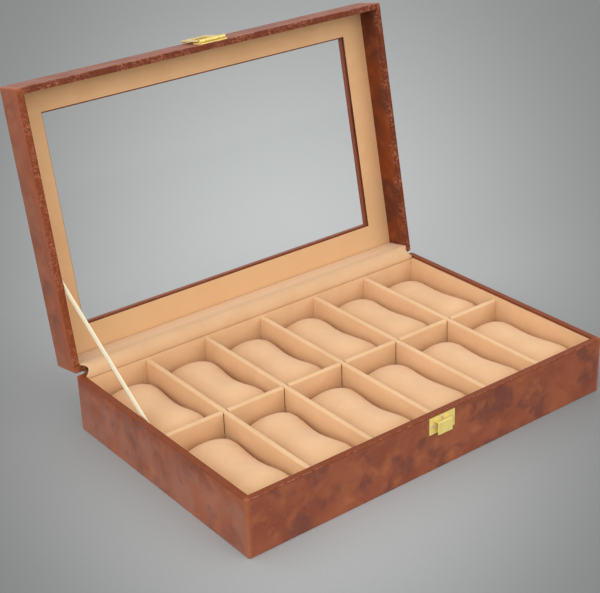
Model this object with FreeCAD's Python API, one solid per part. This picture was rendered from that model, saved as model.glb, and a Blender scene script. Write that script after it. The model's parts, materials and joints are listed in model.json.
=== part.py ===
import FreeCAD, Part
import math
import os

# A watch box with a windowed lid, modelled with the lid open on its ribbon stop.
# Origin at the centre of the underside, +X along the length, -Y to the front, +Z up. Millimetres.

# Overall sizes
box_length = 330.0
box_width = 212.0
base_height = 45.0
lid_height = 28.0
seam_gap = 1.0
open_angle = 100.5

# Boards and leather
board_thickness = 3.2
leather_thickness = 0.8
corner_radius = 1.5
rim_radius = 0.9
lid_edge_radius = 1.2
bottom_thickness = 3.0
turn_under = 12.0
turn_in = 16.0
felt_gap = 0.4

# Lining and dividers
liner_thickness = 1.5
liner_drop = 2.0
back_liner_drop = 2.8
floor_liner_thickness = 1.2
divider_thickness = 4.0
divider_drop = 4.3
divider_edge_radius = 1.3
lap_clearance = 0.6
fit_gap = 0.1
columns = 6

# Pillows
pillow_back_height = 28.2
pillow_waist_height = 30.7
pillow_front_height = 31.7
pillow_end_height = 15.0
pillow_back_crown = 7.3
pillow_waist_crown = 12.0
pillow_front_crown = 7.0
pillow_end_crown = 3.5
pillow_end_lift = 4.0
pillow_end_inset = 5.0
pillow_back_run = 12.0
pillow_waist_shift = 6.0
pillow_front_run = 14.0
pillow_side_gap = 1.3
pillow_end_gap = 1.2
pillow_waist_draw = 0.8
pillow_side_bulge = 1.6
pillow_seat_gap = 0.3

# Lid window
window_side_border = 26.3
window_front_border = 24.6
window_back_border = 27.5
window_board_thickness = 4.9
window_lining = 2.2
glass_thickness = 1.5
glass_lap = 6.0
glass_gap = 0.2
lid_panel_thickness = 0.8
panel_reveal = 1.3

# Hinges
hinge_inset = 7.3
hinge_length = 38.0
hinge_axis_out = 0.5
barrel_radius = 1.6
barrel_clear = 0.3
hinge_pin_radius = 0.7
leaf_thickness = 0.9
leaf_gap = 0.1
leaf_inset = 0.5
end_knuckle = 10.0
knuckle_gap = 0.35
screw_inset = 6.0
screw_radius = 0.6
screw_head_radius = 1.1
screw_head_height = 0.5
screw_length = 9.0
pin_fit = 0.05
screw_fit = 0.03

# Catch on the base
latch_x = 1.5
plate_thickness = 0.8
catch_width = 23.5
catch_height = 13.2
catch_drop = 1.5
tongue_width = 13.1
tongue_reach = 3.4
tongue_drop = 3.3
tongue_bend_radius = 0.7

# Latch on the lid
latch_width = 23.5
latch_height = 11.0
latch_rise = 1.0
latch_pin_rise = 3.0
latch_pin_radius = 0.7
latch_knuckle_radius = 1.4
latch_knuckle_length = 5.5
flap_clear = 0.1
flap_width = 23.5
flap_length = 25.5
flap_lip = 1.2
flap_lip_gap = 0.4
slot_clearance = 0.6
slot_foot_clearance = 1.0

# Rivets of the latch and the catch
rivet_radius = 0.75
rivet_head_radius = 1.4
rivet_head_height = 0.6
rivet_length = 4.0
rivet_edge = 2.4
catch_rivet_drop = 1.8
latch_rivet_rise = 8.0

# Ribbon stay, with the points where it is glued to the base and to the closed lid
ribbon_width = 4.6
ribbon_thickness = 0.6
ribbon_gap = 0.3
ribbon_base_y = 10.0
ribbon_base_z = 34.0
ribbon_lid_y = 29.5
ribbon_lid_depth = 11.0

# Hinge cloth
cloth_thickness = 0.8
cloth_gap = 0.4
cloth_slack = 1.6
cloth_edge_drop = 0.3
cloth_end_gap = 0.4

# Closeness at which two levels count as one
same_level = 1e-4

# Places worked out from the sizes
half_length = box_length / 2
half_width = box_width / 2
wall = board_thickness + 2 * leather_thickness
board_out = leather_thickness
board_in = leather_thickness + board_thickness
floor_z = leather_thickness + bottom_thickness + floor_liner_thickness
liner_top = base_height - liner_drop
back_liner_top = base_height - back_liner_drop
divider_top = base_height - divider_drop
lap_z = (floor_z + divider_top) / 2
slot_half = divider_thickness / 2 + lap_clearance
room_x = half_length - wall - liner_thickness
room_y = half_width - wall - liner_thickness
column_room = (2 * room_x - (columns - 1) * divider_thickness) / columns
column_pitch = column_room + divider_thickness
row_room = room_y - divider_thickness / 2
lid_z = base_height + seam_gap
lid_top = lid_z + lid_height
seam_z = base_height + seam_gap / 2
window_board_z = lid_top - leather_thickness - window_board_thickness
glass_top = window_board_z + glass_thickness
lid_panel_z = window_board_z - lid_panel_thickness
window_x = half_length - window_side_border
window_front_y = window_front_border - half_width
window_back_y = half_width - window_back_border
hinge_y = half_width + hinge_axis_out
leaf_y = half_width - wall + leaf_inset
leaf_top = seam_z - leaf_gap / 2
leaf_bottom = leaf_top - leaf_thickness
screw_y = (leaf_y + hinge_y - barrel_radius - barrel_clear) / 2
plate_y = -half_width - plate_thickness
catch_top = base_height - catch_drop
catch_bottom = catch_top - catch_height
tongue_root = catch_top - tongue_drop
latch_pin_z = lid_z + latch_rise + latch_pin_rise
latch_pin_y = plate_y - latch_knuckle_radius - flap_clear
lip_fall = flap_lip + flap_lip_gap + plate_thickness / 2 - (-half_width - latch_pin_y)
flap_fold = 180 - math.degrees(math.asin(lip_fall / flap_length))

X_AXIS = FreeCAD.Vector(1, 0, 0)
Y_AXIS = FreeCAD.Vector(0, 1, 0)
Z_AXIS = FreeCAD.Vector(0, 0, 1)
hinge_point = FreeCAD.Vector(0, hinge_y, seam_z)
latch_pin_point = FreeCAD.Vector(0, latch_pin_y, latch_pin_z)


def block(x_span, y_span, z_span):
    """Box between a low and a high value on each axis."""
    low = FreeCAD.Vector(x_span[0], y_span[0], z_span[0])
    sizes = [span[1] - span[0] for span in (x_span, y_span, z_span)]
    return Part.makeBox(*sizes, low)


def centred(half_x, half_y, z_span):
    """Box centred on the Z axis."""
    return block((-half_x, half_x), (-half_y, half_y), z_span)


def inset(distance, z_span):
    """Centred box a distance in from the outside of the walls."""
    return centred(half_length - distance, half_width - distance, z_span)


def rounded_inset(distance, z_span):
    """The same box with its upright edges rounded alongside the outer corners."""
    solid = inset(distance, z_span)
    upright = [e for e in solid.Edges if e.BoundBox.ZLength > e.BoundBox.DiagonalLength / 2]
    return solid.makeFillet(corner_radius - distance, upright)


def edges_at(solid, z):
    """Edges that lie in one level plane."""
    def level(edge):
        box = edge.BoundBox
        return max(abs(box.ZMin - z), abs(box.ZMax - z)) < same_level

    return [edge for edge in solid.Edges if level(edge)]


def rod(radius, x_span, y, z):
    """Round bar along X."""
    start = FreeCAD.Vector(x_span[0], y, z)
    return Part.makeCylinder(radius, x_span[1] - x_span[0], start, X_AXIS)


def extrude(outline, x_span):
    """Prism along X of a closed outline given as (y, z) points."""
    points = [FreeCAD.Vector(x_span[0], y, z) for y, z in outline]
    face = Part.Face(Part.makePolygon(points + points[:1]))
    return face.extrude(FreeCAD.Vector(x_span[1] - x_span[0], 0, 0))


def opened(shape):
    """A lid piece, drawn closed, turned to where the open lid carries it."""
    turned = shape.copy()
    turned.rotate(hinge_point, X_AXIS, -open_angle)
    return turned


def flipped(shape):
    """A base piece mirrored across the seam, for its twin on the lid."""
    return shape.mirror(FreeCAD.Vector(0, 0, seam_z), Z_AXIS)


# Base

def wall_ring(z_span):
    """The four wall boards as one ring."""
    return rounded_inset(board_out, z_span).cut(inset(board_in, z_span))


def four_walls(ring):
    """Front and back boards run the full length, the side boards fit between them."""
    z_span = (ring.BoundBox.ZMin, ring.BoundBox.ZMax)
    inner_y = half_width - board_in
    full = (-half_length, half_length)
    between = (-inner_y, inner_y)
    return {
        "front_wall": ring.common(block(full, (-half_width, -inner_y), z_span)),
        "back_wall": ring.common(block(full, (inner_y, half_width), z_span)),
        "left_wall": ring.common(block((-half_length, 0), between, z_span)),
        "right_wall": ring.common(block((0, half_length), between, z_span)),
    }


def base_leather():
    """Skin over the walls, turned in below the rim and under the bottom edge."""
    skin = rounded_inset(0, (0, base_height))
    skin = skin.makeFillet(rim_radius, edges_at(skin, 0) + edges_at(skin, base_height))
    skin = skin.cut(wall_ring((leather_thickness, base_height - leather_thickness)))
    skin = skin.cut(inset(board_in, (leather_thickness, base_height - turn_in)))
    skin = skin.cut(inset(wall, (base_height - turn_in, base_height)))
    return skin.cut(inset(turn_under, (0, leather_thickness)))


def base_boards():
    return four_walls(wall_ring((leather_thickness, base_height - leather_thickness)))


def base_bottom():
    """Bottom board on the turned-under leather, with the felt beneath it."""
    top = leather_thickness + bottom_thickness
    return {
        "base_bottom_board": inset(board_in + fit_gap, (leather_thickness, top)),
        "base_felt": inset(turn_under + felt_gap, (0, leather_thickness)),
        "liner_floor": inset(board_in + fit_gap, (top, floor_z)),
    }


def base_liners():
    """Suede-covered cards round the inside. The back one stops below the hinge cloth."""
    outer_x = half_length - wall
    outer_y = half_width - wall
    sides = (-room_y, room_y)
    full = (-outer_x, outer_x)
    tall = (floor_z, liner_top)
    return {
        "liner_front": block(full, (-outer_y, -room_y), tall),
        "liner_back": block(full, (room_y, outer_y), (floor_z, back_liner_top)),
        "liner_left": block((-outer_x, -room_x), sides, tall),
        "liner_right": block((room_x, outer_x), sides, tall),
    }


def divider_x(number):
    """Middle of a long divider, counted from the left."""
    return (number - columns / 2) * column_pitch


def soft_topped(x_span, y_span):
    """Divider board with its long top edges rounded."""
    board = block(x_span, y_span, (floor_z, divider_top))
    reach = max(x_span[1] - x_span[0], y_span[1] - y_span[0])
    top = [e for e in edges_at(board, divider_top) if e.Length > reach / 2]
    return board.makeFillet(divider_edge_radius, top)


def long_divider(number):
    """Front-to-back divider, slotted from below over the cross divider."""
    x = divider_x(number)
    half = divider_thickness / 2
    board = soft_topped((x - half, x + half), (fit_gap - room_y, room_y - fit_gap))
    slot = block((x - half, x + half), (-slot_half, slot_half), (floor_z, lap_z + fit_gap))
    return board.cut(slot)


def cross_divider():
    """Side-to-side divider, slotted from above under the long ones."""
    half = divider_thickness / 2
    board = soft_topped((fit_gap - room_x, room_x - fit_gap), (-half, half))
    slot_depth = (lap_z - fit_gap, divider_top)
    for number in range(1, columns):
        x = divider_x(number)
        board = board.cut(block((x - slot_half, x + slot_half), (-half, half), slot_depth))
    return board


# Pillows

def pillow_section(y, half_x, bottom, top, crown):
    """Closed outline across a pillow: flat below, swelling sides, crowned top."""
    shoulder = top - crown
    foot = half_x - pillow_side_bulge
    middle = (bottom + shoulder) / 2

    def at(x, z):
        return FreeCAD.Vector(x, y, z)

    return Part.Wire([
        Part.LineSegment(at(-foot, bottom), at(foot, bottom)).toShape(),
        Part.Arc(at(foot, bottom), at(half_x, middle), at(foot, shoulder)).toShape(),
        Part.Arc(at(foot, shoulder), at(0, top), at(-foot, shoulder)).toShape(),
        Part.Arc(at(-foot, shoulder), at(-half_x, middle), at(-foot, bottom)).toShape(),
    ])


def pillow(x, y):
    """Stuffed pillow centred in a compartment: rounded ends, drawn-in waist, crowned top."""
    seat = floor_z + pillow_seat_gap
    half_x = column_room / 2 - pillow_side_gap
    half_y = row_room / 2 - pillow_end_gap
    back_y = half_y - pillow_back_run
    front_y = pillow_front_run - half_y
    end_x = half_x - pillow_end_inset
    waist_x = half_x - pillow_waist_draw
    end_low = seat + pillow_end_lift
    end_high = end_low + pillow_end_height
    sections = [
        pillow_section(half_y, end_x, end_low, end_high, pillow_end_crown),
        pillow_section(back_y, half_x, seat, seat + pillow_back_height, pillow_back_crown),
        pillow_section(pillow_waist_shift, waist_x, seat, seat + pillow_waist_height, pillow_waist_crown),
        pillow_section(front_y, half_x, seat, seat + pillow_front_height, pillow_front_crown),
        pillow_section(-half_y, end_x, end_low, end_high, pillow_end_crown),
    ]
    swell = Part.makeLoft(sections, True, False)
    rested = swell.common(block((-column_pitch, column_pitch), (-half_y, half_y), (seat, base_height)))
    rested.translate(FreeCAD.Vector(x, y, 0))
    return rested.Solids[0]


def pillows():
    """One pillow in every compartment."""
    row_y = (divider_thickness / 2 + room_y) / 2
    places = {}
    for row, y in (("back", row_y), ("front", -row_y)):
        for number in range(1, columns + 1):
            places[f"pillow_{row}_{number}"] = pillow(divider_x(number - 0.5), y)
    return places


# Lid, drawn closed

def window(extra, z_span):
    """Box through the window, wider by an extra on every side."""
    x_span = (-window_x - extra, window_x + extra)
    return block(x_span, (window_front_y - extra, window_back_y + extra), z_span)


def lid_boards():
    return four_walls(wall_ring((lid_z + leather_thickness, lid_top - leather_thickness)))


def window_board():
    """Board round the window, rebated below for the pane."""
    board = inset(board_in, (window_board_z, lid_top - leather_thickness))
    board = board.cut(window(window_lining, (window_board_z, lid_top)))
    return board.cut(window(glass_lap + glass_gap, (window_board_z, glass_top)))


def lid_leather():
    """Skin over the lid, turned in through the window and over the inside of the walls."""
    skin = rounded_inset(0, (lid_z, lid_top))
    skin = skin.makeFillet(lid_edge_radius, edges_at(skin, lid_top))
    skin = skin.makeFillet(rim_radius, edges_at(skin, lid_z))
    skin = skin.cut(wall_ring((lid_z + leather_thickness, lid_top - leather_thickness)))
    skin = skin.cut(inset(wall, (lid_z, window_board_z)))
    board = inset(board_in, (window_board_z, lid_top - leather_thickness))
    lining = window(window_lining, (glass_top, lid_top))
    return skin.cut(board.cut(lining)).cut(window(0, (window_board_z, lid_top)))


def window_glass():
    return window(glass_lap, (window_board_z, glass_top))


def lid_liner_panel():
    """Suede-covered card over the pane's edge and the window board."""
    panel = inset(wall + fit_gap, (lid_panel_z, window_board_z))
    return panel.cut(window(panel_reveal, (lid_panel_z, window_board_z)))


# Hinges, drawn closed

def hinge_start(side):
    """Low X of the hinge on the left (-1) or the right (1)."""
    if side < 0:
        return hinge_inset - half_length
    return half_length - hinge_inset - hinge_length


def screw_places(side):
    """Middles of a leaf's two screws along X."""
    start = hinge_start(side)
    return start + screw_inset, start + hinge_length - screw_inset


def screw(x, allowance):
    """Countersunk screw into the base's back wall, or the hole for it with an allowance."""
    neck = leaf_top - screw_head_height
    head = Part.makeCone(
        screw_radius + allowance, screw_head_radius + allowance, screw_head_height,
        FreeCAD.Vector(x, screw_y, neck), Z_AXIS,
    )
    low = FreeCAD.Vector(x, screw_y, leaf_top - screw_length - allowance)
    return head.fuse(Part.makeCylinder(screw_radius + allowance, neck - low.z, low, Z_AXIS))


def leaf_recess(side):
    """Room for a base leaf in the rim of the back wall."""
    start = hinge_start(side)
    return block((start, start + hinge_length), (leaf_y, hinge_y), (leaf_bottom, leaf_top))


def barrel_groove(side):
    """Room for the barrel in the outer corners of the rims."""
    start = hinge_start(side)
    x_span = (start - barrel_clear, start + hinge_length + barrel_clear)
    return rod(barrel_radius + barrel_clear, x_span, hinge_y, seam_z)


def hinge_leaf(side, own_knuckles, other_knuckles):
    """Leaf on the base's rim with its share of the barrel."""
    leaf = leaf_recess(side)
    for x_span in own_knuckles:
        leaf = leaf.fuse(rod(barrel_radius, x_span, hinge_y, seam_z))
    for low, high in other_knuckles:
        room = (low - knuckle_gap, high + knuckle_gap)
        leaf = leaf.cut(rod(barrel_radius + knuckle_gap, room, hinge_y, seam_z))
    start = hinge_start(side)
    leaf = leaf.cut(rod(hinge_pin_radius + pin_fit, (start, start + hinge_length), hinge_y, seam_z))
    for x in screw_places(side):
        leaf = leaf.cut(screw(x, screw_fit))
    return leaf


def hinge_parts(side):
    """Base leaf, lid leaf and pin of one hinge."""
    start = hinge_start(side)
    end = start + hinge_length
    outer = [(start, start + end_knuckle), (end - end_knuckle, end)]
    inner = [(start + end_knuckle + knuckle_gap, end - end_knuckle - knuckle_gap)]
    return {
        "base_leaf": hinge_leaf(side, outer, inner),
        "lid_leaf": flipped(hinge_leaf(side, inner, outer)),
        "pin": rod(hinge_pin_radius, (start, end), hinge_y, seam_z),
    }


def all_screws():
    """The base's hinge screws as one group."""
    return Part.makeCompound([screw(x, 0) for side in (-1, 1) for x in screw_places(side)])


def cut_for_hinges(shape, on_lid):
    """Takes the room for the leaves, barrels and screws out of a base or lid piece."""
    for side in (-1, 1):
        tools = [leaf_recess(side), barrel_groove(side)]
        tools += [screw(x, screw_fit) for x in screw_places(side)]
        for tool in tools:
            shape = shape.cut(flipped(tool) if on_lid else tool)
    return shape


# Latch and catch, drawn closed

def rivet(x, z, allowance):
    """Flat-headed rivet through a front plate into the board, or the hole for it with an allowance."""
    start = FreeCAD.Vector(x, plate_y, z)
    length = rivet_length + allowance
    shank = Part.makeCylinder(rivet_radius + allowance, length, start, Y_AXIS)
    if allowance:
        return shank
    head = Part.makeCone(rivet_head_radius, rivet_radius, rivet_head_height, start, -Y_AXIS)
    return shank.fuse(head)


def catch_rivet_places():
    """One rivet above the tongue and one on each side of it."""
    beside = (tongue_width / 2 + catch_width / 2) / 2
    middle = catch_top - catch_height / 2
    above = (latch_x, catch_top - catch_rivet_drop)
    return [above, (latch_x - beside, middle), (latch_x + beside, middle)]


def latch_rivet_places():
    beside = latch_width / 2 - rivet_edge
    z = lid_z + latch_rise + latch_rivet_rise
    return [(latch_x - beside, z), (latch_x + beside, z)]


def rivets(places):
    return Part.makeCompound([rivet(x, z, 0) for x, z in places])


def cut_for_rivets(shape, places):
    for x, z in places:
        shape = shape.cut(rivet(x, z, screw_fit))
    return shape


def plate(width, z_span):
    """Flat brass plate on the front of the box."""
    return block((latch_x - width / 2, latch_x + width / 2), (plate_y, -half_width), z_span)


def catch_plate():
    """Plate with a tongue pressed out of it, open at the bottom and the sides."""
    face = plate_y - tongue_reach
    back = face + plate_thickness
    under = tongue_root - plate_thickness
    outline = [
        (plate_y, tongue_root), (face, tongue_root), (face, catch_bottom),
        (back, catch_bottom), (back, under), (plate_y, under),
    ]
    half = tongue_width / 2
    tongue = extrude(outline, (latch_x - half, latch_x + half))
    bend = [e for e in edges_at(tongue, tongue_root) if abs(e.BoundBox.YMax - face) < same_level]
    tongue = tongue.makeFillet(tongue_bend_radius, bend)
    solid = plate(catch_width, (catch_bottom, catch_top)).fuse(tongue).removeSplitter()
    return cut_for_rivets(solid, catch_rivet_places())


def latch_plate():
    """Plate on the lid with a knuckle at each end of the flap's pin."""
    solid = plate(latch_width, (lid_z + latch_rise, lid_z + latch_rise + latch_height))
    for side in (-1, 1):
        outer = latch_x + side * latch_width / 2
        x_span = sorted((outer, outer - side * latch_knuckle_length))
        solid = solid.fuse(rod(latch_knuckle_radius, x_span, latch_pin_y, latch_pin_z))
        web = (latch_pin_z, latch_pin_z + latch_knuckle_radius)
        solid = solid.fuse(block(x_span, (latch_pin_y, plate_y), web))
    full = (latch_x - latch_width / 2, latch_x + latch_width / 2)
    solid = solid.cut(rod(latch_pin_radius + pin_fit, full, latch_pin_y, latch_pin_z))
    return cut_for_rivets(solid.removeSplitter(), latch_rivet_places())


def latch_pin():
    full = (latch_x - latch_width / 2, latch_x + latch_width / 2)
    return rod(latch_pin_radius, full, latch_pin_y, latch_pin_z)


def latch_flap():
    """Flap drawn hanging over the catch, then folded back until its lip meets the lid."""
    half = plate_thickness / 2
    neck = latch_width / 2 - latch_knuckle_length - knuckle_gap
    shoulder = latch_pin_z - latch_knuckle_radius - knuckle_gap
    foot = latch_pin_z - flap_length
    y_span = (latch_pin_y - half, latch_pin_y + half)

    def across(half_x):
        return latch_x - half_x, latch_x + half_x

    solid = rod(latch_knuckle_radius, across(neck), latch_pin_y, latch_pin_z)
    solid = solid.fuse(block(across(neck), y_span, (shoulder - plate_thickness, latch_pin_z)))
    solid = solid.fuse(block(across(flap_width / 2), y_span, (foot, shoulder)))
    lip_span = (latch_pin_y - half - flap_lip, latch_pin_y)
    lip = block(across(flap_width / 2), lip_span, (foot, foot + plate_thickness))
    solid = solid.fuse(lip).removeSplitter()
    slot_span = (catch_bottom - slot_foot_clearance, tongue_root + slot_clearance)
    solid = solid.cut(block(across(tongue_width / 2 + slot_clearance), y_span, slot_span))
    solid = solid.cut(rod(latch_pin_radius + pin_fit, across(neck), latch_pin_y, latch_pin_z))
    solid.rotate(latch_pin_point, X_AXIS, -flap_fold)
    return solid


# Ribbon and hinge cloth, drawn with the lid open

def open_place(y, z):
    """Where a point of the closed lid stands when the lid is open, as (y, z)."""
    angle = math.radians(open_angle)
    dy = y - hinge_y
    dz = z - seam_z
    return (
        hinge_y + dy * math.cos(angle) + dz * math.sin(angle),
        seam_z - dy * math.sin(angle) + dz * math.cos(angle),
    )


def ribbon_stay():
    """Flat ribbon, taut from the base's left lining to the lid's left wall."""
    lid_y, lid_height_here = open_place(ribbon_lid_y, lid_z + ribbon_lid_depth)
    start = FreeCAD.Vector(ribbon_gap - room_x, ribbon_base_y, ribbon_base_z)
    end = FreeCAD.Vector(ribbon_gap - half_length + wall, lid_y, lid_height_here)
    along = end - start
    across = X_AXIS.cross(along).normalize() * (ribbon_width / 2)
    thick = FreeCAD.Vector(ribbon_thickness, 0, 0)
    corners = [start - across, start + across, start + across + thick, start - across + thick]
    face = Part.Face(Part.makePolygon(corners + corners[:1]))
    return face.extrude(along)


def cloth_side(offset):
    """Edges of one face of the hinge cloth, from the lid's panel over the open seam to the base."""
    inner_y = half_width - wall - cloth_gap - offset
    end = FreeCAD.Vector(0, *open_place(inner_y, lid_panel_z - cloth_end_gap))
    rim = FreeCAD.Vector(0, *open_place(inner_y, lid_z))
    edge = FreeCAD.Vector(0, inner_y, base_height - cloth_edge_drop)
    foot = FreeCAD.Vector(0, inner_y, back_liner_top + cloth_end_gap)
    outward = X_AXIS.cross(rim - edge).normalize()
    bulge = (rim + edge) / 2 + outward * cloth_slack
    return [
        Part.LineSegment(end, rim).toShape(),
        Part.Arc(rim, bulge, edge).toShape(),
        Part.LineSegment(edge, foot).toShape(),
    ]


def hinge_cloth():
    """Strip of suede cloth over the inside of the seam, glued to the lid and to the base."""
    front = cloth_side(cloth_thickness)
    back = cloth_side(0)
    lid_end = [side[0].firstVertex(True).Point for side in (front, back)]
    base_end = [side[2].lastVertex(True).Point for side in (front, back)]
    ends = [Part.LineSegment(*points).toShape() for points in (lid_end, base_end)]
    wire = Part.Wire(Part.__sortEdges__(front + back + ends))
    half = half_length - wall - cloth_end_gap
    strip = Part.Face(wire).extrude(FreeCAD.Vector(2 * half, 0, 0))
    strip.translate(FreeCAD.Vector(-half, 0, 0))
    return strip


# Assembly

def base_parts():
    parts = {f"base_{name}": board for name, board in base_boards().items()}
    catch_places = catch_rivet_places()
    parts["base_front_wall"] = cut_for_rivets(parts["base_front_wall"], catch_places)
    parts["base_back_wall"] = cut_for_hinges(parts["base_back_wall"], False)
    parts["base_leather"] = cut_for_rivets(cut_for_hinges(base_leather(), False), catch_places)
    parts.update(base_bottom())
    parts.update(base_liners())
    for number in range(1, columns):
        parts[f"divider_long_{number}"] = long_divider(number)
    parts["divider_cross"] = cross_divider()
    parts["catch_plate"] = catch_plate()
    parts["catch_rivets"] = rivets(catch_places)
    parts["hinge_base_screws"] = all_screws()
    parts["ribbon_stay"] = ribbon_stay()
    parts["hinge_cloth"] = hinge_cloth()
    return parts


def lid_parts():
    parts = {f"lid_{name}": board for name, board in lid_boards().items()}
    latch_places = latch_rivet_places()
    parts["lid_front_wall"] = cut_for_rivets(parts["lid_front_wall"], latch_places)
    parts["lid_back_wall"] = cut_for_hinges(parts["lid_back_wall"], True)
    parts["lid_leather"] = cut_for_rivets(cut_for_hinges(lid_leather(), True), latch_places)
    parts["lid_window_board"] = window_board()
    parts["window_glass"] = window_glass()
    parts["lid_liner_panel"] = lid_liner_panel()
    parts["hinge_lid_screws"] = flipped(all_screws())
    parts["latch_plate"] = latch_plate()
    parts["latch_pin"] = latch_pin()
    parts["latch_rivets"] = rivets(latch_places)
    parts["latch_flap"] = latch_flap()
    return parts


def all_parts():
    parts = base_parts()
    parts.update(pillows())
    closed = lid_parts()
    for side, name in ((-1, "left"), (1, "right")):
        hinge = hinge_parts(side)
        parts[f"hinge_{name}_base_leaf"] = hinge["base_leaf"]
        parts[f"hinge_{name}_pin"] = hinge["pin"]
        closed[f"hinge_{name}_lid_leaf"] = hinge["lid_leaf"]
    parts.update({name: opened(shape) for name, shape in closed.items()})
    return parts


os.makedirs("parts", exist_ok=True)
for name, shape in all_parts().items():
    shape.exportStep(f"parts/{name}.step")
    print(name, len(shape.Solids), shape.isValid(), round(shape.Volume, 1))
print("flap fold", flap_fold, "latch pin", open_place(latch_pin_y, latch_pin_z))
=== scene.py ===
import json
import math
import random

import bpy
from mathutils import Matrix, Vector, noise


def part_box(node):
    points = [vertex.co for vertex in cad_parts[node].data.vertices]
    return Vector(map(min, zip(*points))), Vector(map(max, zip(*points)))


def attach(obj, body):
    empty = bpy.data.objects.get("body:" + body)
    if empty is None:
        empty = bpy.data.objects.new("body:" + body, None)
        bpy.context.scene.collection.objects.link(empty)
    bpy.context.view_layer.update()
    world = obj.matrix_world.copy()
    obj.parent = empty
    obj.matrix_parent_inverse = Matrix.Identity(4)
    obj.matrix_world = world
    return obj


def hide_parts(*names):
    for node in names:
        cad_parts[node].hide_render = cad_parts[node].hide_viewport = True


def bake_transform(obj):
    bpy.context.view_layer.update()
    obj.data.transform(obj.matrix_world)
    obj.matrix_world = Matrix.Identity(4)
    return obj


# A watch box with a windowed lid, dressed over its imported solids. Metres, in the frame's own axes.
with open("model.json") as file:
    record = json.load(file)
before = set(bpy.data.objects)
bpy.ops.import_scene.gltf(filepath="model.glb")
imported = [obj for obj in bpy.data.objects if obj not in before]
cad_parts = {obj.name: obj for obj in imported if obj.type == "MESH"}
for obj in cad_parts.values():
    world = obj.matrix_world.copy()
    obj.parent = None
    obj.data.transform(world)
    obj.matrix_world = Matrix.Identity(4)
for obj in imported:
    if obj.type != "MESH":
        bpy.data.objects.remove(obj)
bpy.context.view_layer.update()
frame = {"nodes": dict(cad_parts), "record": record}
nodes = frame["nodes"]

MM = 0.001

# Camera, fitted to the edges of the box in the photograph
CAMERA_AZIMUTH = -37.03
CAMERA_ELEVATION = 26.04
CAMERA_ROLL = -2.045
CAMERA_DISTANCE = 1061.3 * MM
CAMERA_CLIP = 0.05
AIM_RIGHT = -32.72 * MM
AIM_UP = 85.11 * MM
FOCAL_PIXELS = 1403.5
IMAGE_WIDTH = 600
SENSOR_WIDTH = 36.0

# Light: each lamp's direction from the box and strength, their spread, and the even light
LAMPS = {
    "left": ((-0.85, -0.30, 0.43), 0.95),
    "front": ((0.25, -0.85, 0.46), 0.60),
    "back_left": ((-0.72, 0.65, 0.25), 0.20),
}
LAMP_SPREAD = math.radians(50)
AMBIENT = 0.92
AMBIENT_COLOUR = (1.0, 0.99, 0.98, 1)

# Floor in metres, and the pool of light on it in millimetres as seen along the camera's heading
FLOOR_SIZE = 8
POOL_BRIGHT = (0.580, 0.598, 0.602, 1)
POOL_DIM = (0.203, 0.210, 0.212, 1)
POOL_MIDDLE = (-32.0, 113.0)
POOL_ACROSS = 313.0
POOL_AWAY = 839.0
POOL_WIDENS = 1061.0
POOL_LEAST = 0.3

# Sizes of the solids, in millimetres
HALF_LENGTH = 165.0
HALF_WIDTH = 106.0
WALL = 4.8
BASE_HEIGHT = 45.0
BACK_LINER_TOP = 42.2
DIVIDER_TOP = 40.7
DIVIDER_HALF = 2.0
LID_BOTTOM = 46.0
LID_TOP = 74.0
LID_PANEL = 67.5
GLASS_TOP = 69.8
HINGE_Y = 106.5
HINGE_Z = 45.5
OPEN_ANGLE = math.radians(100.5)
SHARP_ANGLE = math.radians(35)

# Hinge cloth, in millimetres
CLOTH_THICKNESS = 0.8
CLOTH_GAP = 0.4
CLOTH_EDGE_DROP = 0.3
CLOTH_END_GAP = 0.12
CLOTH_HALF_LENGTH = 159.8
CLOTH_SLACK_LEFT = 2.3
CLOTH_SLACK_RIGHT = 1.3
CLOTH_WAVE = 0.25
CLOTH_WAVES = 4.0
CLOTH_WAVE_ROW = 7.3
CLOTH_PULL = 3.5
CLOTH_PULL_POWER = 8
CLOTH_COLUMNS = 161
CLOTH_LID_STEPS = 12
CLOTH_SEAM_STEPS = 16
CLOTH_BASE_STEPS = 2

# Ribbon stay, in millimetres
RIBBON_WIDTH = 5.3
RIBBON_THICKNESS = 0.6
RIBBON_BASE = (-158.1, 10.0, 34.0)
RIBBON_LID_X = -159.6
RIBBON_LID_Y = 29.5
RIBBON_LID_Z = 57.0
RIBBON_SHARES = (-1.0, -0.5, 0.0, 0.5, 1.0)
RIB_SPACING = 0.8
ROUTE_STEPS = 60

# Pillows, in millimetres
PILLOW_VOXEL = 3.0
PILLOW_SHRINK = Vector((0.975, 0.985, 0.985))
PILLOW_SWELL = 1.0
PILLOW_LEAN = 3.5
PILLOW_SPARE = 0.4
PILLOW_UNEVEN = 0.8
PILLOW_UNEVEN_SIZE = 28.0
PILLOW_SHIFT = 99
PILLOW_SEED = 5
PILLOW_PRESSURE = 4.0
PILLOW_CLOTH_QUALITY = 4
PILLOW_FRAMES = 20

# Leather colours
LEATHER_DARK = (0.248, 0.069, 0.036, 1)
LEATHER_RED = (0.325, 0.095, 0.046, 1)
LEATHER_CLOUD = (0.428, 0.143, 0.059, 1)
LEATHER_SPOT = (0.160, 0.054, 0.041, 1)
LEATHER_SMUDGE = (0.408, 0.139, 0.067, 1)
LEATHER_DUSK = (0.206, 0.089, 0.071, 1)
LEATHER_CRINKLE = (0.440, 0.160, 0.090, 1)
LEATHER_CORNER = (0.388, 0.114, 0.045, 1)
# Pale edge colour: partly worn leather, partly a painted highlight along the edges.
LEATHER_RUBBED_AND_HIGHLIGHT = (0.500, 0.215, 0.130, 1)
INNER_DARK = (0.116, 0.031, 0.016, 1)
INNER_RED = (0.198, 0.042, 0.011, 1)
INNER_CLOUD = (0.290, 0.073, 0.019, 1)
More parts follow.
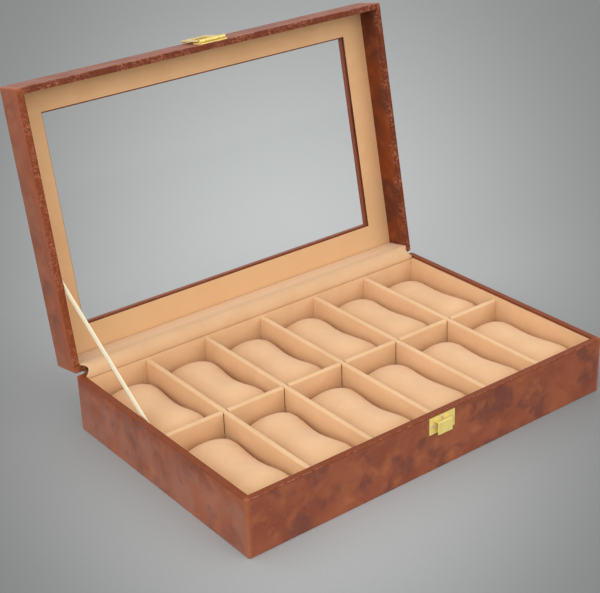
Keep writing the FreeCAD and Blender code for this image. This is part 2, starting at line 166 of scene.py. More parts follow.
# This colour paints shade on the window's leather under the glass.
WINDOW_SHADE_UNDER_GLASS = (0.250, 0.062, 0.027, 1)
WINDOW_OVER_GLASS = (0.300, 0.072, 0.034, 1)
# This grey colour paints a reflection on the base's ends.
BASE_END_REFLECTION = (0.331, 0.151, 0.107, 1)
BASE_RIM = (0.205, 0.044, 0.012, 1)
# This grey colour paints a reflection on the lid's ends.
LID_END_REFLECTION = (0.331, 0.138, 0.082, 1)
LID_RIM = (0.138, 0.026, 0.008, 1)
LID_LEFT_RIM = (0.220, 0.046, 0.010, 1)
LID_BAND = (0.375, 0.095, 0.045, 1)
# This colour paints shade on the lid's front and back faces.
LID_FRONT_SHADE = (0.215, 0.042, 0.012, 1)

# Suedes, each with its plain, dark and pale colour
LINING_COLOURS = ((0.785, 0.515, 0.290, 1), (0.735, 0.470, 0.255, 1), (0.820, 0.555, 0.330, 1))
PANEL_COLOURS = ((0.790, 0.485, 0.246, 1), (0.745, 0.445, 0.218, 1), (0.825, 0.530, 0.285, 1))
CLOTH_COLOURS = ((0.700, 0.445, 0.248, 1), (0.660, 0.408, 0.218, 1), (0.740, 0.490, 0.290, 1))
PILLOW_COLOURS = ((0.810, 0.515, 0.292, 1), (0.765, 0.475, 0.260, 1), (0.845, 0.555, 0.332, 1))
# This colour paints shade low in the compartments.
DEEP_LINING_SHADE = (0.420, 0.235, 0.105, 1)
# Bare card colour, darkened further as painted shade in the slots.
BARE_CARD_AND_SHADE = (0.120, 0.052, 0.018, 1)
# This colour paints shade on the panel towards the hinge.
PANEL_SHADE = (0.655, 0.400, 0.202, 1)
# This colour paints light on the lid's side of the hinge cloth.
CLOTH_PAINTED_LIGHT = (0.800, 0.540, 0.325, 1)

# Brasses, each with its bright colour and its tarnished colour, which also paints shade on faces that look
# up
LACQUERED_BRASS = ((1.0, 0.80, 0.25, 1), (0.62, 0.48, 0.15, 1))
AGED_BRASS = ((0.40, 0.20, 0.08, 1), (0.20, 0.09, 0.04, 1))
PALE_RIVETS = ((0.66, 0.55, 0.43, 1), (0.12, 0.09, 0.05, 1))

# Colours of the other materials
PANE_TINT = (0.985, 0.992, 0.99, 1)
BOARD_DARK = (0.16, 0.09, 0.05, 1)
BOARD_PALE = (0.30, 0.18, 0.10, 1)
FELT_DARK = (0.10, 0.055, 0.03, 1)
FELT_PALE = (0.19, 0.11, 0.065, 1)
FELT_DRIFT = (0.22, 0.13, 0.08, 1)
RIBBON_GROOVE = (0.97, 0.83, 0.56, 1)
RIBBON_RIB = (1.0, 0.92, 0.68, 1)
RIBBON_SELVEDGE = (0.90, 0.74, 0.46, 1)
RIBBON_DRIFT = (0.95, 0.82, 0.58, 1)


def open_place(y, z):
    """Where a point of the closed lid stands when the lid is open, as (y, z)."""
    dy = y - HINGE_Y
    dz = z - HINGE_Z
    cosine = math.cos(OPEN_ANGLE)
    sine = math.sin(OPEN_ANGLE)
    return HINGE_Y + dy * cosine + dz * sine, HINGE_Z - dy * sine + dz * cosine


# Camera, light and floor

def make_camera():
    azimuth = math.radians(CAMERA_AZIMUTH)
    elevation = math.radians(CAMERA_ELEVATION)
    back = Vector((
        math.sin(azimuth) * math.cos(elevation),
        -math.cos(azimuth) * math.cos(elevation),
        math.sin(elevation),
    ))
    level_right = Vector((0, 0, 1)).cross(back).normalized()
    roll = Matrix.Rotation(math.radians(CAMERA_ROLL), 3, back)
    right = roll @ level_right
    up = roll @ back.cross(level_right)
    place = right * AIM_RIGHT + up * AIM_UP + back * CAMERA_DISTANCE
    data = bpy.data.cameras.new("camera")
    data.sensor_width = SENSOR_WIDTH
    data.lens = FOCAL_PIXELS * SENSOR_WIDTH / IMAGE_WIDTH
    data.clip_start = CAMERA_CLIP
    camera = bpy.data.objects.new("camera", data)
    turn = Matrix((right, up, back)).transposed()
    camera.matrix_world = Matrix.LocRotScale(place, turn, None)
    bpy.context.scene.collection.objects.link(camera)
    bpy.context.scene.camera = camera


def make_lamp(name, direction, strength):
    data = bpy.data.lights.new(name, "SUN")
    data.energy = strength
    data.angle = LAMP_SPREAD
    lamp = bpy.data.objects.new(name, data)
    lamp.rotation_mode = "QUATERNION"
    lamp.rotation_quaternion = Vector(direction).to_track_quat("Z", "Y")
    bpy.context.scene.collection.objects.link(lamp)


def make_light():
    """Broad soft lamps, and even light from all round."""
    for name, lamp in LAMPS.items():
        make_lamp(name, *lamp)
    world = bpy.data.worlds.new("studio")
    world.use_nodes = True
    light = world.node_tree.nodes["Background"]
    light.inputs["Color"].default_value = AMBIENT_COLOUR
    light.inputs["Strength"].default_value = AMBIENT
    bpy.context.scene.world = world


def make_floor():
    bpy.ops.mesh.primitive_plane_add(size=FLOOR_SIZE, location=(0, 0, 0))
    floor = bpy.context.object
    floor.name = "floor"
    floor.data.materials.append(floor_paper())


# Materials

class Paint:
    """A material being built from nodes, with its pattern coordinates in millimetres."""

    def __init__(self, name, closed_lid=False):
        self.material = bpy.data.materials.new(name)
        self.material.use_nodes = True
        self.tree = self.material.node_tree
        self.shader = self.tree.nodes["Principled BSDF"]
        coordinates = self.tree.nodes.new("ShaderNodeTexCoord")
        self.normal = coordinates.outputs["Normal"]
        place = coordinates.outputs["Object"]
        if closed_lid:
            place = self.closed(place)
        self.place = self.vector("SCALE", place, scale=1 / MM)
        self.x, self.y, self.z = self.split(self.place)

    def node(self, kind, inputs, **settings):
        made = self.tree.nodes.new(kind)
        for name, value in settings.items():
            setattr(made, name, value)
        for name, value in inputs.items():
            self.feed(made.inputs[name], value)
        return made

    def feed(self, socket, value):
        if isinstance(value, bpy.types.NodeSocket):
            self.tree.links.new(value, socket)
        else:
            socket.default_value = value

    def closed(self, place):
        """Turns the open lid's coordinates back to the closed lid's."""
        inputs = {
            "Vector": place,
            "Center": (0, HINGE_Y * MM, HINGE_Z * MM),
            "Angle": OPEN_ANGLE,
        }
        return self.node("ShaderNodeVectorRotate", inputs, rotation_type="X_AXIS").outputs[0]

    def split(self, vector):
        return self.node("ShaderNodeSeparateXYZ", {"Vector": vector}).outputs

    def vector(self, operation, a, b=(0, 0, 0), scale=1.0):
        inputs = {0: a, 1: b, 3: scale}
        made = self.node("ShaderNodeVectorMath", inputs, operation=operation)
        return made.outputs["Vector"]

    def math(self, operation, a, b=0.0, c=0.0):
        return self.node("ShaderNodeMath", {0: a, 1: b, 2: c}, operation=operation).outputs[0]

    def product(self, first, *others):
        """All the given shares multiplied together."""
        for other in others:
            first = self.math("MULTIPLY", first, other)
        return first

    def away_from(self, value, centre):
        """Distance of a value from a centre."""
        return self.math("ABSOLUTE", self.math("SUBTRACT", value, centre))

    def stretched(self, scale):
        return self.vector("MULTIPLY", self.place, scale)

    def shifted(self, offset):
        return self.vector("ADD", self.place, offset)

    def noise(self, size, detail=3.0, roughness=0.5, distortion=0.0, place=None):
        """Soft noise from 0 to 1 with features of about that size in millimetres."""
        inputs = {
            "Vector": place or self.place,
            "Scale": 1 / size,
            "Detail": detail,
            "Roughness": roughness,
            "Distortion": distortion,
        }
        return self.node("ShaderNodeTexNoise", inputs).outputs["Fac"]

    def cells(self, size):
        """Rounded pebbles of about that size in millimetres, 0 at their middles."""
        inputs = {"Vector": self.place, "Scale": 1 / size, "Randomness": 0.9}
        return self.node("ShaderNodeTexVoronoi", inputs).outputs["Distance"]

    def ramp(self, value, low, high, start=0.0, end=1.0):
        """Eases from start, where the value is low, to end, where it is high."""
        inputs = {"Value": value, "From Min": low, "From Max": high, "To Min": start, "To Max": end}
        made = self.node("ShaderNodeMapRange", inputs, interpolation_type="SMOOTHSTEP")
        return made.outputs["Result"]

    def patches(self, size, low, high, start=0.0, end=1.0, **pattern):
        """Soft patches of about that size in millimetres, where a noise passes from low to high."""
        return self.ramp(self.noise(size, **pattern), low, high, start, end)

    def mix(self, share, a, b):
        """Two colours mixed by a share. The node's colour sockets go by number, as their names repeat."""
        made = self.node("ShaderNodeMix", {"Factor": share}, data_type="RGBA")
        self.feed(made.inputs[6], a)
        self.feed(made.inputs[7], b)
        return made.outputs[2]

    def ground(self, share, a, b):
        """Starts the material's colour as a mix of two."""
        self.colour = self.mix(share, a, b)

    def cover(self, share, colour):
        """Lays another colour over the material's colour."""
        self.colour = self.mix(share, self.colour, colour)

    def bump(self, height, distance, strength=1.0, below=None):
        """Raises the surface by a height from 0 to 1 times a distance in millimetres."""
        inputs = {"Height": height, "Distance": distance * MM, "Strength": strength}
        if below:
            inputs["Normal"] = below
        return self.node("ShaderNodeBump", inputs).outputs["Normal"]

    def finish(self, **inputs):
        """Feeds the colour and the named inputs to the shader."""
        self.feed(self.shader.inputs["Base Color"], self.colour)
        for name, value in inputs.items():
            self.feed(self.shader.inputs[name.replace("_", " ")], value)
        return self.material


class Leather(Paint):
    """Waxed antique leather, as the base wears it."""

    on_lid = False
    bottom = 0.0
    top = BASE_HEIGHT
    rim_height = BASE_HEIGHT
    # Colour of the painted reflection on the ends.
    reflection_colour = BASE_END_REFLECTION
    crinkle_reach = (4.0, 1.0)
    crinkle_share = 0.15
    window_depth = (15.0, 18.0)

    def __init__(self, name):
        super().__init__(name, self.on_lid)
        self.side = self.math("SUBTRACT", HALF_LENGTH, self.math("ABSOLUTE", self.x))
        self.front = self.math("SUBTRACT", HALF_WIDTH, self.math("ABSOLUTE", self.y))
        self.depth = self.math("MINIMUM", self.side, self.front)
        self.from_rim = self.away_from(self.z, self.rim_height)
        self.broad = self.noise(36, detail=2, distortion=0.3)
        self.cloud = self.noise(15, detail=3, distortion=0.4)

    def paint_clouds(self):
        """Red-brown clouds with dark spots and small pale smudges."""
        moved = self.shifted((71, 13, 37))
        spots = self.patches(17, 0.48, 0.68, 0, 0.75, roughness=0.55, distortion=0.3, place=moved)
        smudges = self.patches(3.5, 0.50, 0.72, 0, 0.22, detail=4, roughness=0.65, distortion=0.5)
        self.ground(self.ramp(self.broad, 0.34, 0.66), LEATHER_DARK, LEATHER_RED)
        self.cover(self.ramp(self.cloud, 0.48, 0.72, 0, 0.55), LEATHER_CLOUD)
        self.cover(spots, LEATHER_SPOT)
        self.cover(smudges, LEATHER_SMUDGE)

    def paint_ends(self):
        """A grey, hazy painted reflection on the two ends, away from the rim, and dusky patches."""
        on_end = self.ramp(self.side, 2.5, 0.8)
        # Painted reflection: the ends turn a hazy grey where they would reflect their surroundings.
        painted_reflection = self.patches(19, 0.34, 0.66, 0.15, 0.6, distortion=0.5)
        dusk = self.patches(12, 0.55, 0.70, 0, 0.6, distortion=0.4, place=self.shifted((5, 88, 21)))
        self.cover(self.product(painted_reflection, on_end, self.ramp(self.from_rim, 2, 14)), self.reflection_colour)
        self.cover(self.product(dusk, on_end), LEATHER_DUSK)

    def paint_inside(self):
        """Deeper, redder leather inside the walls, and plain brown in the window's opening, with painted
        shade under the glass.
        """
        below_top = self.ramp(self.z, LID_TOP - 0.6, LID_TOP - 1.4)
        inside = self.product(self.ramp(self.depth, WALL - 1.2, WALL - 0.4), below_top)
        opening = self.product(self.ramp(self.depth, *self.window_depth), below_top)
        over_glass = self.ramp(self.z, GLASS_TOP + 0.2, GLASS_TOP + 0.9)
        drift = self.ramp(self.broad, 0.40, 0.60)
        clouded = self.ramp(self.cloud, 0.48, 0.70, 0, 0.6)
        inner = self.mix(drift, INNER_DARK, INNER_RED)
        inner = self.mix(clouded, inner, INNER_CLOUD)
        self.cover(inside, inner)
        # Painted shade: the window's leather is darker under the glass.
        self.cover(opening, self.mix(over_glass, WINDOW_SHADE_UNDER_GLASS, WINDOW_OVER_GLASS))

    def rim_colour(self):
        return BASE_RIM

    def paint_rim(self):
        """A dark rim with pale, curly crinkle lines, which are kept for the bump."""
        self.cover(self.ramp(self.from_rim, 1.8, 0.6, 0, 0.9), self.rim_colour())
        off_line = self.away_from(self.noise(3, detail=2, distortion=0.3), 0.5)
        lines = self.ramp(off_line, 0.05, 0.012, 0, 0.8)
        reach = self.ramp(self.from_rim, *self.crinkle_reach, 0, self.crinkle_share)
        self.crinkles = self.product(lines, self.patches(20, 0.36, 0.56, 0.2, 1.0), reach)
        self.cover(self.crinkles, LEATHER_CRINKLE)

    def edge_distance(self):
        """Distance in millimetres to the nearest outer edge."""
        above = self.math("SUBTRACT", self.z, self.bottom)
        below = self.math("SUBTRACT", self.top, self.z)
        level = self.math("MINIMUM", above, below)
        most = self.math("MAXIMUM", self.side, self.front)
        return self.math("MAXIMUM", self.depth, self.math("MINIMUM", most, level))

    def paint_wear_and_highlight(self):
        """Lighter upright corners, and edges worn pale in places, most of all at front and back; the pale
        edge line is partly wear and partly a painted highlight.
        """
        at_corner = self.ramp(self.math("MAXIMUM", self.side, self.front), 5.0, 1.0, 0, 0.65)
        at_edge = self.ramp(self.edge_distance(), 0.8, 0.35)
        # Pale edge line: partly worn leather, partly a painted highlight.
        rubbed_and_highlight = self.patches(5, 0.46, 0.66, 0, 0.6, detail=5, roughness=0.7)
        by_front = self.ramp(self.front, 3.0, 1.0, 0.2, 1.0)
        self.cover(at_corner, LEATHER_CORNER)
        self.cover(self.product(at_edge, rubbed_and_highlight, by_front), LEATHER_RUBBED_AND_HIGHLIGHT)

    def complete(self):
        """Paints all layers of colour, then the pebbled grain, soft dents and raised crinkles."""
        self.paint_clouds()
        self.paint_ends()
        self.paint_inside()
        self.paint_rim()
        self.paint_wear_and_highlight()
        normal = self.bump(self.cells(1.1), 0.06, 0.25)
        normal = self.bump(self.noise(7, detail=4, roughness=0.6), 0.4, 0.22, normal)
        normal = self.bump(self.crinkles, 0.12, 0.5, normal)
        gloss = self.ramp(self.cloud, 0.3, 0.7, 0.40, 0.52)
        return self.finish(Roughness=gloss, Normal=normal, Specular_IOR_Level=0.15)


class LidLeather(Leather):
    """Leather of the lid, more crinkled and warmer near its rim."""

    on_lid = True
    bottom = LID_BOTTOM
    top = LID_TOP
    rim_height = LID_BOTTOM
    # Colour of the painted reflection on the lid's ends.
    reflection_colour = LID_END_REFLECTION
    crinkle_reach = (9.0, 1.5)
    crinkle_share = 1.0

    def rim_colour(self):
        """Dark, and lighter along the left end."""
        at_left = self.ramp(self.x, 8 - HALF_LENGTH, 3 - HALF_LENGTH)
        return self.mix(at_left, LID_RIM, LID_LEFT_RIM)

    def paint_rim(self):
        """A warm band on the outer faces near the rim, painted shade on the front and back faces, then the
        rim itself.
        """
        outer = self.ramp(self.depth, WALL - 0.4, WALL - 1.2)
        band = self.product(self.ramp(self.from_rim, 13, 4, 0, 0.55), outer)
        self.cover(band, LID_BAND)
        # Painted shade on the lid's front and back faces.
        self.cover(self.ramp(self.front, 2.0, 0.8, 0, 0.3), LID_FRONT_SHADE)
        super().paint_rim()


def suede(name, plain, dark, pale):
    """Short-napped suede cloth: brushed drifts, a fine speckle and a soft sheen."""
    paint = Paint(name)
    streak = paint.noise(9, detail=4, roughness=0.6, place=paint.stretched((0.6, 0.4, 1.0)))
    speckle = paint.noise(0.6, detail=2)
    paint.ground(paint.patches(30, 0.3, 0.7, distortion=0.5), dark, plain)
    paint.cover(paint.ramp(streak, 0.48, 0.75, 0, 0.4), pale)
    paint.cover(paint.ramp(speckle, 0.60, 0.40, 0, 0.18), dark)
    normal = paint.bump(speckle, 0.05, 0.35)
    normal = paint.bump(paint.noise(4), 0.12, 0.2, normal)
    rough = paint.ramp(streak, 0.3, 0.7, 0.84, 0.96)
    paint.finish(
        Roughness=rough, Normal=normal, Sheen_Weight=0.15, Sheen_Roughness=0.5, Specular_IOR_Level=0.2
    )
    return paint


def lining_suede(name):
    """Suede of the lining and the dividers, with painted shade deep in the compartments."""
    paint = suede(name, *LINING_COLOURS)
    # Painted shade: darker towards the bottom of the compartments.
    paint.cover(paint.ramp(paint.z, 25, 12, 0, 0.5), DEEP_LINING_SHADE)
    paint.finish()
    return paint


def divider_suede():
    """Lining suede with a bare, dark card edge inside the half-lap slots, darkened further as painted
    shade in the slots.
    """
    paint = lining_suede("divider_suede")
    inside = paint.ramp(paint.math("ABSOLUTE", paint.y), DIVIDER_HALF + 0.1, DIVIDER_HALF - 0.1)
    below = paint.ramp(paint.z, DIVIDER_TOP - 0.9, DIVIDER_TOP - 1.3)
    # Bare card edge in the slot, with painted shade.
    paint.cover(paint.product(inside, below), BARE_CARD_AND_SHADE)
    return paint.finish()


def panel_suede():
    """Suede of the lid's panel, with painted shade towards the hinge."""
    paint = suede("panel_suede", *PANEL_COLOURS)
    # Painted shade: darker towards the hinge.
    paint.cover(paint.ramp(paint.z, 140, 70, 0, 0.6), PANEL_SHADE)
    return paint.finish()


def cloth_suede():
    """Suede of the hinge cloth, with painted light that makes it paler on the lid's side."""
    paint = suede("cloth_suede", *CLOTH_COLOURS)
    # Painted light: paler on the lid's side.
    paint.cover(paint.ramp(paint.y, HALF_WIDTH, HALF_WIDTH + 12), CLOTH_PAINTED_LIGHT)
    return paint.finish()


def brass(name, bright, tarnish_and_shade):
    """Brass plate with fine rubbing, a few dull spots, and painted shade on faces that look up."""
    paint = Paint(name)
    rub = paint.noise(1.2, detail=4, place=paint.stretched((0.3, 1.0, 2.5)))
    paint.ground(paint.patches(5, 0.50, 0.75, 0, 0.4, detail=4), bright, tarnish_and_shade)
    upward = paint.split(paint.normal)["Z"]
    # Painted shade: faces that look up take the tarnished colour.
    paint.cover(paint.ramp(upward, 0.5, 0.9, 0, 0.9), tarnish_and_shade)
    rough = paint.ramp(rub, 0.3, 0.7, 0.28, 0.40)
    return paint.finish(Roughness=rough, Normal=paint.bump(rub, 0.01, 0.15), Metallic=0.3)


def clear_glass():
    """Clear thin pane: straight through, with a mirror share that grows at a slant and a faint smear."""
    paint = Paint("clear_pane")
    least_mirror = 0.012
    slant_mirror = 0.9
    slant_power = 5.0
    smear = paint.patches(30, 0.45, 0.75, 0.02, 0.08)
    gloss = paint.node("ShaderNodeBsdfGlossy", {"Roughness": smear})
    clear = paint.node("ShaderNodeBsdfTransparent", {"Color": PANE_TINT})
    slant = paint.node("ShaderNodeLayerWeight", {"Blend": 0.5}).outputs["Facing"]
    grown = paint.math("POWER", slant, slant_power)
    share = paint.math("MULTIPLY_ADD", grown, slant_mirror, least_mirror)
    pane = paint.node("ShaderNodeMixShader", {0: share, 1: clear.outputs[0], 2: gloss.outputs[0]})
    paint.feed(paint.tree.nodes["Material Output"].inputs["Surface"], pane.outputs[0])
    return paint.material


def hardboard():
    """Pressed brown fibreboard, hidden under the leather."""
    paint = Paint("hardboard")
    fibre = paint.noise(1.5, detail=5, place=paint.stretched((0.4, 1.0, 1.0)))
    paint.ground(paint.ramp(fibre, 0.3, 0.7), BOARD_DARK, BOARD_PALE)
    return paint.finish(Roughness=0.85, Normal=paint.bump(fibre, 0.1, 0.4))


def felt():
    """Brown felt of matted fibres under the base."""
    paint = Paint("brown_felt")
    tuft = paint.noise(1.1, detail=5, roughness=0.7)
    paint.ground(paint.ramp(tuft, 0.3, 0.7), FELT_DARK, FELT_PALE)
    paint.cover(paint.patches(20, 0.4, 0.7, 0, 0.4), FELT_DRIFT)
    return paint.finish(Roughness=0.95, Normal=paint.bump(tuft, 0.2, 0.5), Sheen_Weight=0.3)


def ribbon_satin():
    """Cream ribbon with fine cross ribs and a firmer edge on both sides."""
    paint = Paint("cream_ribbon")
    weave = paint.split(paint.node("ShaderNodeUVMap", {}, uv_map="weave").outputs["UV"])
    wave = paint.math("SINE", paint.math("MULTIPLY", weave["X"], 2 * math.pi / RIB_SPACING))
    ribs = paint.ramp(wave, -1, 1)
    from_middle = paint.math("ABSOLUTE", weave["Y"])
    selvedge = paint.ramp(from_middle, RIBBON_WIDTH / 2 - 0.7, RIBBON_WIDTH / 2 - 0.3, 0, 0.35)
    paint.ground(ribs, RIBBON_GROOVE, RIBBON_RIB)
    paint.cover(selvedge, RIBBON_SELVEDGE)
    paint.cover(paint.patches(9, 0.5, 0.8, 0, 0.3), RIBBON_DRIFT)
    return paint.finish(Roughness=0.55, Normal=paint.bump(ribs, 0.08, 0.5), Sheen_Weight=0.2)


def floor_paper():
    """Plain studio paper with a broad pool of light that widens away from the camera."""
    paint = Paint("studio_paper")
    heading = {"Vector": paint.place, "Angle": math.radians(-CAMERA_AZIMUTH)}
    turned = paint.node("ShaderNodeVectorRotate", heading, rotation_type="Z_AXIS")
    right, forward, _ = paint.split(turned.outputs[0])
    widening = paint.math("ADD", paint.math("DIVIDE", forward, POOL_WIDENS), 1.0)
    widening = paint.math("MAXIMUM", widening, POOL_LEAST)
    across = paint.math("DIVIDE", paint.math("SUBTRACT", right, POOL_MIDDLE[0]), POOL_ACROSS)
    away = paint.math("DIVIDE", paint.math("SUBTRACT", forward, POOL_MIDDLE[1]), POOL_AWAY)
    spot = paint.node("ShaderNodeCombineXYZ", {"X": across, "Y": away}).outputs[0]
    reach = paint.node("ShaderNodeVectorMath", {0: spot}, operation="LENGTH").outputs["Value"]
    paint.ground(paint.ramp(paint.math("DIVIDE", reach, widening), 0.0, 1.0), POOL_BRIGHT, POOL_DIM)
    paint.cover(paint.patches(3, 0.4, 0.6, 0, 0.03, detail=4), POOL_DIM)
    return paint.finish(Roughness=0.95, Specular_IOR_Level=0.1)


# Finishes of the solids that stay in view

def dress(names, material):
    for name in names:
        mesh = nodes[name].data
        mesh.materials.clear()
        mesh.materials.append(material)


def smooth_edges(names):
    """Shades the rounded faces smoothly and keeps the sharp corners."""
    for name in names:
        nodes[name].data.shade_smooth()
        nodes[name].data.set_sharp_from_angle(angle=SHARP_ANGLE)


def dress_solids():
    """Dresses the solids slot by slot, and then those that differ from their slot."""
    by_slot = {}
    for part in frame["record"]["subparts"]:
        by_slot.setdefault(part["material_slot"], []).append(part["node"])
    brasses = by_slot["brass"]
    long_dividers = [name for name in by_slot["suede"] if name.startswith("divider_long")]
    hinge_parts = [name for name in brasses if name.startswith("hinge_") or name == "latch_pin"]
    dress(by_slot["suede"], lining_suede("lining_suede").material)
    dress(by_slot["board"], hardboard())
    dress(by_slot["felt"], felt())
    dress(by_slot["glass"], clear_glass())
    dress(brasses, brass("lacquered_brass", *LACQUERED_BRASS))
    dress(hinge_parts, brass("aged_brass", *AGED_BRASS))
    dress(["catch_rivets", "latch_rivets"], brass("pale_rivets", *PALE_RIVETS))
    dress(["base_leather"], Leather("base_leather").complete())
    dress(["lid_leather"], LidLeather("lid_leather").complete())
    dress(["lid_liner_panel"], panel_suede())
    dress(long_dividers, divider_suede())
    smooth_edges(["base_leather", "lid_leather", "divider_cross"] + long_dividers + brasses)


# Soft pieces

def new_piece(name, mesh, material):
    piece = bpy.data.objects.new(name, mesh)
    mesh.materials.clear()
    mesh.materials.append(material)
    bpy.context.scene.collection.objects.link(piece)
    return piece


def applied(piece):
    """The piece's mesh as its modifiers leave it."""
    view = bpy.context.evaluated_depsgraph_get()
    return bpy.data.meshes.new_from_object(piece.evaluated_get(view))


def apply_all(piece):
    mesh = applied(piece)
    piece.modifiers.clear()
    piece.data = mesh
    mesh.shade_smooth()


def grid_faces(columns, rows):
    """Four-sided faces over a grid of points stored column by column."""
    return [
        (c * rows + r, c * rows + r + 1, (c + 1) * rows + r + 1, (c + 1) * rows + r)
        for c in range(columns - 1) for r in range(rows - 1)
    ]


def thicken(piece, thickness):
    solid = piece.modifiers.new("thickness", "SOLIDIFY")
    solid.thickness = thickness * MM
    solid.offset = 0.0
    apply_all(piece)


def route_points(route):
    """Points along a route's smooth line, read from its NURBS spline."""
    curve = bpy.data.curves.new("route", "CURVE")
    curve.dimensions = "3D"
    curve.resolution_u = ROUTE_STEPS
    spline = curve.splines.new("NURBS")
    spline.points.add(len(route) - 1)
    for point, place in zip(spline.points, route):
        point.co = (*place, 1)
    spline.order_u = 3
    spline.use_endpoint_u = True
    mesh = bpy.data.meshes.new_from_object(bpy.data.objects.new("route", curve))
    return [vertex.co.copy() for vertex in mesh.vertices]


def make_ribbon():
    """Flat ribbon, taut from the base's left lining to the lid's left wall."""
    start = Vector(RIBBON_BASE) * MM
    end = Vector((RIBBON_LID_X, *open_place(RIBBON_LID_Y, RIBBON_LID_Z))) * MM
    line = route_points([start, end])
    along = end - start
    across = Vector((1, 0, 0)).cross(along).normalized()
    points = []
    weave = []
    for place in line:
        for share in RIBBON_SHARES:
            offset = share * RIBBON_WIDTH / 2
            points.append(place + across * offset * MM)
            weave.append(((place - start).length / MM, offset))
    mesh = bpy.data.meshes.new("ribbon_band")
    mesh.from_pydata(points, [], grid_faces(len(line), len(RIBBON_SHARES)))
    layer = mesh.uv_layers.new(name="weave")
    for loop in mesh.loops:
        layer.data[loop.index].uv = weave[loop.vertex_index]
    ribbon = new_piece("ribbon_band", mesh, ribbon_satin())
    thicken(ribbon, RIBBON_THICKNESS)
    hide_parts("ribbon_stay")
    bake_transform(ribbon)


def pillow_blank(node, material, seed):
    """Even mesh that a cover starts from: smaller than its solid, uneven and lower at the left."""
    piece = new_piece(node + "_cover", nodes[node].data.copy(), material)
    remesh = piece.modifiers.new("even", "REMESH")
    remesh.mode = "VOXEL"
    remesh.voxel_size = PILLOW_VOXEL * MM
    apply_all(piece)
    low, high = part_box(node)
    middle = (low + high) / 2
    shift = Vector([seed.uniform(0, PILLOW_SHIFT) for _ in range(3)])
    for vertex in piece.data.vertices:
        from_middle = (vertex.co - middle) * PILLOW_SHRINK
        height = (vertex.co.z - low.z) / (high.z - low.z)
        uneven = noise.noise(vertex.co / (PILLOW_UNEVEN_SIZE * MM) + shift) * PILLOW_UNEVEN * MM
        lean = PILLOW_LEAN * MM * (high.x - vertex.co.x) / (high.x - low.x)
        vertex.co = middle + from_middle + Vector((0, 0, (uneven - lean) * height))
    return piece


def swell(pieces):
    """Lets the covers fill out as cloth under pressure, each point by no more than a limit."""
    rest = {piece: [vertex.co.copy() for vertex in piece.data.vertices] for piece in pieces}
    for piece in pieces:
        settings = piece.modifiers.new("cover", "CLOTH").settings
        settings.use_pressure = True
        settings.uniform_pressure_force = PILLOW_PRESSURE
        settings.effector_weights.gravity = 0.0
        settings.quality = PILLOW_CLOTH_QUALITY
    scene = bpy.context.scene
    for step in range(1, PILLOW_FRAMES + 1):
        scene.frame_set(step)
    swollen = {piece: applied(piece) for piece in pieces}
    scene.frame_set(1)
    for piece, mesh in swollen.items():
        piece.modifiers.clear()
        for vertex, start in zip(mesh.vertices, rest[piece]):
            move = vertex.co - start
            move.length = min(move.length, PILLOW_SWELL * MM)
            vertex.co = start + move
        piece.data = mesh


def keep_in_compartment(piece, node):
    """Holds every point above the seat and off the dividers."""
    low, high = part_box(node)
    spare = Vector((PILLOW_SPARE, PILLOW_SPARE, 0)) * MM
    low = low - spare
    high = high + spare
    for vertex in piece.data.vertices:
        vertex.co.x = min(max(vertex.co.x, low.x), high.x)
        vertex.co.y = min(max(vertex.co.y, low.y), high.y)
        vertex.co.z = max(vertex.co.z, low.z)


def make_pillows():
    material = suede("pillow_suede", *PILLOW_COLOURS).material
    seed = random.Random(PILLOW_SEED)
    names = sorted(name for name in nodes if name.startswith("pillow_"))
    pieces = {name: pillow_blank(name, material, seed) for name in names}
    swell(list(pieces.values()))
    for name, piece in pieces.items():
        keep_in_compartment(piece, name)
        finer = piece.modifiers.new("finer", "SUBSURF")
        finer.levels = 1
        finer.render_levels = 1
        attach(piece, name)
        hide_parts(name)


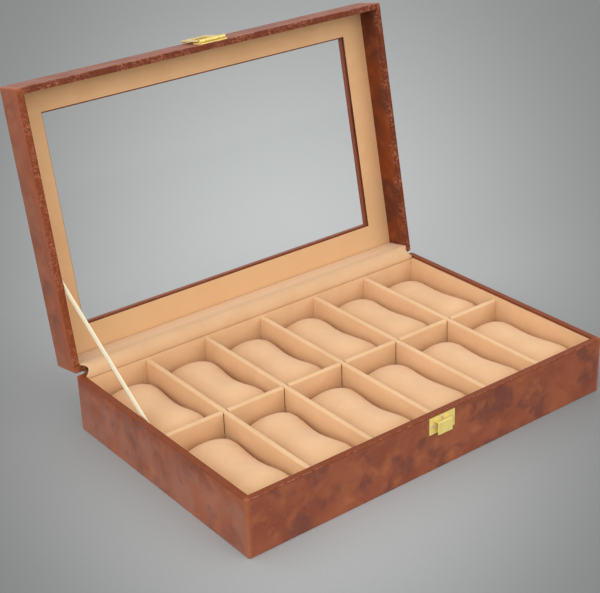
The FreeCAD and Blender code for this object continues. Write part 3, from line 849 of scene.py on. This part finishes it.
def cloth_line(slack):
    """Middle line of the hinge cloth from the lid's panel over the seam to the base, as (y, z, bow)."""
    inner = HALF_WIDTH - WALL - CLOTH_GAP - CLOTH_THICKNESS / 2
    end = Vector(open_place(inner, LID_PANEL - CLOTH_END_GAP))
    rim = Vector(open_place(inner, LID_BOTTOM))
    edge = Vector((inner, BASE_HEIGHT - CLOTH_EDGE_DROP))
    foot = Vector((inner, BACK_LINER_TOP + CLOTH_END_GAP))
    chord = rim - edge
    outward = Vector((-chord.y, chord.x)).normalized()
    line = [(*end.lerp(rim, step / CLOTH_LID_STEPS), 0.0) for step in range(CLOTH_LID_STEPS)]
    for step in range(CLOTH_SEAM_STEPS):
        share = step / CLOTH_SEAM_STEPS
        bow = 4 * share * (1 - share)
        line.append((*(rim.lerp(edge, share) + outward * slack * bow), bow))
    line += [(*edge.lerp(foot, step / CLOTH_BASE_STEPS), 0.0) for step in range(CLOTH_BASE_STEPS + 1)]
    return line, edge, rim


def make_hinge_cloth():
    """Suede strip over the inside of the open seam, slacker at the left, its ends drawn in at the seam."""
    points = []
    for column in range(CLOTH_COLUMNS):
        across = 2 * column / (CLOTH_COLUMNS - 1) - 1
        leftness = (1 - across) / 2
        slack = CLOTH_SLACK_RIGHT + leftness * (CLOTH_SLACK_LEFT - CLOTH_SLACK_RIGHT)
        slack += CLOTH_WAVE * noise.noise(Vector((across * CLOTH_WAVES, CLOTH_WAVE_ROW, 0)))
        line, edge, rim = cloth_line(slack)
        for y, z, bow in line:
            x = across * (CLOTH_HALF_LENGTH - CLOTH_PULL * bow * across ** CLOTH_PULL_POWER)
            points.append(Vector((x, y, z)) * MM)
    mesh = bpy.data.meshes.new("hinge_cloth_strip")
    mesh.from_pydata(points, [], grid_faces(CLOTH_COLUMNS, len(line)))
    cloth = new_piece("hinge_cloth_strip", mesh, cloth_suede())
    thicken(cloth, CLOTH_THICKNESS)
    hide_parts("hinge_cloth")
    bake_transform(cloth)


# Scene

make_camera()
make_ribbon()
make_light()
make_floor()
dress_solids()
make_pillows()
make_hinge_cloth()

bpy.context.scene.view_settings.view_transform = "Standard"
